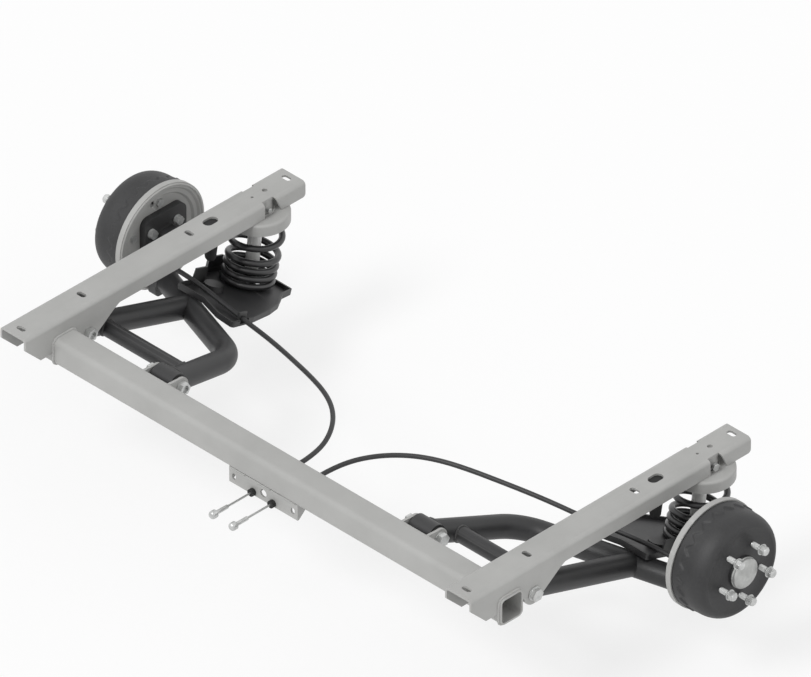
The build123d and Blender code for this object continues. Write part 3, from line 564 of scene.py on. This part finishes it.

# ribbed rubber boot over each gland
boot = {"ribs": 5, "pitch": 0.0042, "high": 0.0074, "low": 0.0058, "bore": 0.0051, "taper": 0.0003,
        "rise": 0.0012, "crest": 0.0026}
innerWire = {"radius": 0.0021, "stations": (-0.304, -0.288, -0.272)}
for side, sign in sides:
    ridges = [(0.0, boot["bore"])]
    for i in range(boot["ribs"]):
        foot, ridge = i * boot["pitch"], boot["high"] - boot["taper"] * i
        ridges += [(foot, boot["low"]), (foot + boot["rise"], ridge), (foot + boot["crest"], ridge)]
    bootEnd = boot["ribs"] * boot["pitch"]
    ridges += [(bootEnd, boot["low"]), (bootEnd, boot["bore"])]
    boots = lathe("cableBoot_" + side, ridges, (sign * glandX, glandBack, cableZ), (0, 1, 0), rubber, 40)
    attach(boots, "chassis_frame")
    # the inner wire runs on inside the conduit, so the gland stays filled when the cable is pulled
    wirePath = [Vector((sign * glandX, y, cableZ)) for y in innerWire["stations"]]
    wire = tubeAlong("innerWire_" + side, wirePath, innerWire["radius"], zincPlate, around=16)
    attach(wire, "cable_pull_" + side)
say("cable boots")


def beamOutline(x):
    half, corner = 0.0305, 0.012
    path = []
    for cy, cz, first in ((1, 1, 0), (-1, 1, 90), (-1, -1, 180), (1, -1, 270)):
        for step in range(7):
            angle = math.radians(first + 15 * step)
            path.append(Vector((x, beamY + cy * (half - corner) + corner * math.cos(angle),
                                beamZ + cz * (half - corner) + corner * math.sin(angle))))
    return path


# where each weld on the frame runs, with the lighter bead that the thin plates get
frameWelds = {"railFaces": (railX - 0.0355, railX + 0.0355), "lugFaces": (0.3145, 0.3215, 0.3815, 0.3885),
              "lugBack": -0.2478, "lugEnds": (-0.046, -0.086), "cupTop": -0.0353, "cupRing": 0.0285,
              "bracketFront": -0.3035, "bracketTop": -0.094,
              "bracketRuns": ((-0.085, -0.05), (-0.018, 0.018), (0.05, 0.085)), "light": 0.0022}
for side, sign in sides:
    paths = [beamOutline(sign * x) for x in frameWelds["railFaces"]]
    weldBead("beamWeld_" + side, paths, "chassis_frame", zincPaint, closed=True)
    lugEdges = [[Vector((sign * x, frameWelds["lugBack"], z)) for z in frameWelds["lugEnds"]]
                for x in frameWelds["lugFaces"]]
    weldBead("lugWeld_" + side, lugEdges, "chassis_frame", zincPaint,
             radius=frameWelds["light"])
    cupRing = ringPoints((sign * railX, cupY, frameWelds["cupTop"]), (0, 0, 1), frameWelds["cupRing"], 60)
    weldBead("cupWeld_" + side, [cupRing], "chassis_frame", zincPaint, closed=True,
             radius=frameWelds["light"])
bracketEdges = [[Vector((x, frameWelds["bracketFront"], frameWelds["bracketTop"])) for x in run]
                for run in frameWelds["bracketRuns"]]
weldBead("bracketWeld", bracketEdges, "chassis_frame", zincPaint, radius=frameWelds["light"])


def saddle(centre, axis, radius, otherCentre, otherAxis, otherRadius, count=48):
    # where a round tube meets the side of another, found by carrying its outline along its own axis
    axis = Vector(axis).normalized()
    otherAxis = Vector(otherAxis).normalized()
    path = []
    for start in ringPoints(centre, axis, radius, count):
        flat = start - Vector(otherCentre)
        flat = flat - otherAxis * flat.dot(otherAxis)
        way = axis - otherAxis * axis.dot(otherAxis)
        a, b, c = way.dot(way), 2 * flat.dot(way), flat.dot(flat) - otherRadius ** 2
        reach = b * b - 4 * a * c
        if reach > 0:
            path.append(start + axis * ((-b - math.sqrt(reach)) / (2 * a)))
    return path


tube = {"radius": 0.02415, "level": -0.0052, "brace": 0.01685, "braceAlong": 0.0685, "braceX": 0.48}
# the bent tube's centre line in the arm's plane, as x and the way along the arm
leg = {"start": (0.351, 0.016), "corner": (0.3917, 0.2236), "end": (0.716, 0.3732)}
innerX = 0.3515
stubFace = 0.7155
armWay = Vector((0, -math.cos(droop), math.sin(droop)))
for side, sign in sides:
    body = "arm_" + side
    bead = tube["radius"] + 0.0006
    outer = saddle(armPoint(sign * railX, 0.2, tube["level"]), armWay, bead,
                   (sign * railX, pivotY, pivotZ), (1, 0, 0), bead)
    (startX, startAlong), (cornerX, cornerAlong), (endX, endAlong) = leg["start"], leg["corner"], leg["end"]
    lean = math.atan2(cornerX - startX, cornerAlong - startAlong)
    legWay = armWay * math.cos(lean) - Vector((sign * math.sin(lean), 0, 0))
    legFrom = armPoint(sign * (startX + 0.1 * math.tan(lean)), startAlong + 0.1, tube["level"])
    inner = saddle(legFrom, legWay, bead, (sign * innerX, pivotY, pivotZ), (1, 0, 0), bead)
    weldBead("pivotWelds_" + side, [outer, inner], body, blackPaint, closed=True)
    braceMid = armPoint(sign * tube["braceX"], tube["braceAlong"], tube["level"])
    toOuter = saddle(braceMid, (sign, 0, 0), tube["brace"], armPoint(sign * railX, 0, tube["level"]),
                     armWay, bead)
    toInner = saddle(braceMid, (-sign, 0, 0), tube["brace"], legFrom, legWay, bead)
    weldBead("braceWelds_" + side, [toOuter, toInner], body, blackPaint, closed=True,
             radius=0.0026)
    endWay = Vector((sign * (endX - cornerX), 0, 0)) - armWay * (endAlong - cornerAlong)
    endCentre = armPoint(sign * endX, endAlong, tube["level"])
    ends = []
    for start in ringPoints(endCentre, endWay, bead, 44):
        ends.append(start + endWay * ((sign * stubFace - start.x) / endWay.x))
    weldBead("stubWeld_" + side, [ends], body, blackPaint, closed=True)
say("welds")

drum = {"open": 0.7555, "bandEdge": 0.7735, "bandWave": 0.0065, "lobes": 24, "band": 0.1125, "wall": 0.1098,
        "shoulder": 0.795, "face": 0.83, "faceRadius": 0.092, "around": 288}
bolt = {"circle": 0.056, "count": 5, "shank": 0.006, "thread": 0.0022, "seat": 0.848}


def drumSection(angle, side):
    # the open edge carries a band whose inner border waves in lobes, then a smooth wall and a domed shoulder
    edge = drum["bandEdge"] + drum["bandWave"] * math.cos(drum["lobes"] * angle)
    section = [(drum["open"], 0.1), (drum["open"], drum["band"] - 0.0012),
               (drum["open"] + 0.0012, drum["band"])]
    x = drum["open"] + 0.003
    while x < drum["shoulder"] - 0.004:
        step = min(1.0, max(0.0, (x - edge) / 0.0035))
        fall = step * step * (3 - 2 * step)
        section.append((x, drum["band"] - (drum["band"] - drum["wall"]) * fall))
        x += 0.0012
    for i in range(13):
        t = math.pi / 2 * i / 12
        section.append((drum["shoulder"] + (drum["face"] - drum["shoulder"]) * math.sin(t),
                        drum["faceRadius"] + (drum["wall"] - drum["faceRadius"]) * math.cos(t)))
    section += [(drum["face"], 0.0895), (drum["face"] - 0.0008, 0.0885), (drum["face"] - 0.0008, 0.037),
                (drum["face"], 0.036), (drum["face"], 0.03325), (0.835, 0.03325), (0.835, 0.0305),
                (0.828, 0.0305), (0.828, 0.032), (0.782, 0.032), (0.778, 0.03), (0.778, 0.044),
                (0.808, 0.05), (0.816, 0.06), (0.816, 0.086), (0.806, 0.1)]
    return [Vector((side * x, hubY + r * math.cos(angle), hubZ + r * math.sin(angle))) for x, r in section]


def drumCasting(side):
    bm = bmesh.new()
    rings = [[bm.verts.new(p) for p in drumSection(2 * math.pi * k / drum["around"], side)]
             for k in range(drum["around"])]
    for k in range(drum["around"]):
        here, there = rings[k], rings[(k + 1) % drum["around"]]
        for i in range(len(here)):
            j = (i + 1) % len(here)
            bm.faces.new((here[i], here[j], there[j], there[i]))
    return newMesh("brakeDrum_" + ("right" if side > 0 else "left"), bm, castIron, 40)


def threadedShanks(name, side, places):
    # a rolled thread, drawn a little coarser than real so that it shows
    section = [(0.817, 0.0), (0.817, bolt["shank"])]
    x = drum["face"] + 0.0004
    while x < bolt["seat"] - bolt["thread"]:
        section += [(x, bolt["shank"]), (x + bolt["thread"] / 2, bolt["shank"] * 0.86)]
        x += bolt["thread"]
    section += [(bolt["seat"] - 0.001, bolt["shank"]), (bolt["seat"], 0.0072),
                (bolt["seat"] + 0.0042, 0.0108), (bolt["seat"] + 0.005, 0.0108), (bolt["seat"] + 0.005, 0.0)]
    bm = bmesh.new()
    around = 28
    for place in places:
        rings = [[bm.verts.new(Vector((side * x, place.y + r * math.cos(a), place.z + r * math.sin(a))))
                  for a in [2 * math.pi * k / around for k in range(around)]] for x, r in section]
        for here, there in zip(rings, rings[1:]):
            for k in range(around):
                bm.faces.new((here[k], here[(k + 1) % around], there[(k + 1) % around], there[k]))
    return newMesh(name, bm, zincPlate, 40)


for side, sign in sides:
    hub = "hub_" + side
    out = (float(sign), 0.0, 0.0)
    casting = drumCasting(sign)
    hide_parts("brake_drum_" + side)
    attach(casting, hub)
    places = []
    for i in range(bolt["count"]):
        angle = math.radians(-90 + 360 * i / bolt["count"])
        places.append(Vector((0, hubY + bolt["circle"] * math.cos(angle),
                              hubZ + bolt["circle"] * math.sin(angle))))
    shanks = threadedShanks("wheelShanks_" + side, sign, places)
    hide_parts("wheel_bolts_" + side)
    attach(shanks, hub)
    seats = [Vector((sign * (bolt["seat"] + 0.0048), p.y, p.z)) for p in places]
    boltHeads("wheelHeads_" + side, seats, out, hub, {"Across Flats": 0.017, "Head Height": 0.0112,
                                                     "Flange Radius": 0.0115, "Flange Height": 0.0015})
    # rolled lip round the cap and the bead pressed round the plate
    lipSection = [(0.0, 0.0302), (0.0, 0.0322), (0.0022, 0.0331), (0.0036, 0.0322), (0.0036, 0.0302)]
    lip = lathe("capLip_" + side, lipSection, (sign * 0.8351, hubY, hubZ), out, capMetal)
    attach(lip, hub)
    beadSection = [(-0.0012, 0.1085), (-0.0024, 0.1105), (-0.0012, 0.1125), (0.0004, 0.1125),
                   (0.0004, 0.1085)]
    rim = lathe("plateBead_" + side, beadSection, (sign * 0.742, hubY, hubZ), out, zincPaint, 96)
    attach(rim, "arm_" + side)
say("hub details")

lowest = cadBox[0][2]
floorMesh = bpy.data.meshes.new("floor")
half = 12.0
floorDrop = 0.12  # the unit hangs clear of the floor
corners = [(-half, -half, 0), (half, -half, 0), (half, half, 0), (-half, half, 0)]
floorMesh.from_pydata(corners, [], [(0, 1, 2, 3)])
floor = bpy.data.objects.new("floor", floorMesh)
floor.location.z = lowest - floorDrop
bpy.context.scene.collection.objects.link(floor)


def seenDirectly(tree):
    # 1 for the rays that show the background itself: straight to the camera, mirrored, or through glass
    rays = addNode(tree, "ShaderNodeLightPath")
    first = addNode(tree, "ShaderNodeMath", operation="MAXIMUM",
                    links={0: rays.outputs["Is Camera Ray"], 1: rays.outputs["Is Glossy Ray"]})
    return addNode(tree, "ShaderNodeMath", operation="MAXIMUM",
                   links={0: first.outputs[0], 1: rays.outputs["Is Transmission Ray"]}).outputs[0]


# matt white paper, lifted nearly to pure white for the camera so that only a faint shadow stays on it
floorMat = bpy.data.materials.new("paleFloor")
floorMat.use_nodes = True
floorTree = floorMat.node_tree
floorTree.nodes.clear()
paper = addNode(floorTree, "ShaderNodeBsdfDiffuse", {"Color": toLinear("#f6f6f6")})
white = addNode(floorTree, "ShaderNodeEmission", {"Color": (1, 1, 1, 1), "Strength": 1.0})
share = addNode(floorTree, "ShaderNodeMath", {1: 0.72}, {0: seenDirectly(floorTree)}, operation="MULTIPLY")
lifted = addNode(floorTree, "ShaderNodeMixShader", links={0: share.outputs[0], 1: paper.outputs[0],
                                                          2: white.outputs[0]})
addNode(floorTree, "ShaderNodeOutputMaterial", links={"Surface": lifted.outputs[0]})
floorMesh.materials.append(floorMat)

world = bpy.data.worlds.new("studio")
bpy.context.scene.world = world
world.use_nodes = True
sky = world.node_tree.nodes["Background"]
sky.inputs["Color"].default_value = (1, 1, 1, 1)
strength = addNode(world.node_tree, "ShaderNodeMapRange", {"To Min": 0.62, "To Max": 1.0},
                   {"Value": seenDirectly(world.node_tree)})
world.node_tree.links.new(strength.outputs["Result"], sky.inputs["Strength"])

lamps = {"key": {"angles": (38, -18, 20), "power": 1.45, "soft": 20},
         "fill": {"angles": (58, 0, 118), "power": 0.35, "soft": 60}}
for name, lamp in lamps.items():
    data = bpy.data.lights.new(name, "SUN")
    data.energy = lamp["power"]
    data.angle = math.radians(lamp["soft"])
    obj = bpy.data.objects.new(name, data)
    obj.rotation_euler = [math.radians(a) for a in lamp["angles"]]
    bpy.context.scene.collection.objects.link(obj)

# an isometric look from the right front, taken from far off with a long lens
cameraSet = {"lens": 1000, "distance": 43.08, "across": 0.2547, "upwards": 0.2467}
right = Vector((1, 1, 0)).normalized()
back = Vector((1, -1, 1)).normalized()
upward = back.cross(right)
beamCentre = Vector((0, beamY, beamZ))
aim = beamCentre + right * cameraSet["across"] + upward * cameraSet["upwards"]
cameraData = bpy.data.cameras.new("camera")
cameraData.lens = cameraSet["lens"]
cameraData.clip_end = 200
camera = bpy.data.objects.new("camera", cameraData)
turning = Matrix((right, upward, back)).transposed().to_4x4()
camera.matrix_world = Matrix.Translation(aim + back * cameraSet["distance"]) @ turning
bpy.context.scene.collection.objects.link(camera)
bpy.context.scene.camera = camera
bpy.context.scene.view_settings.view_transform = "Standard"

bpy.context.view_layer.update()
say("done")
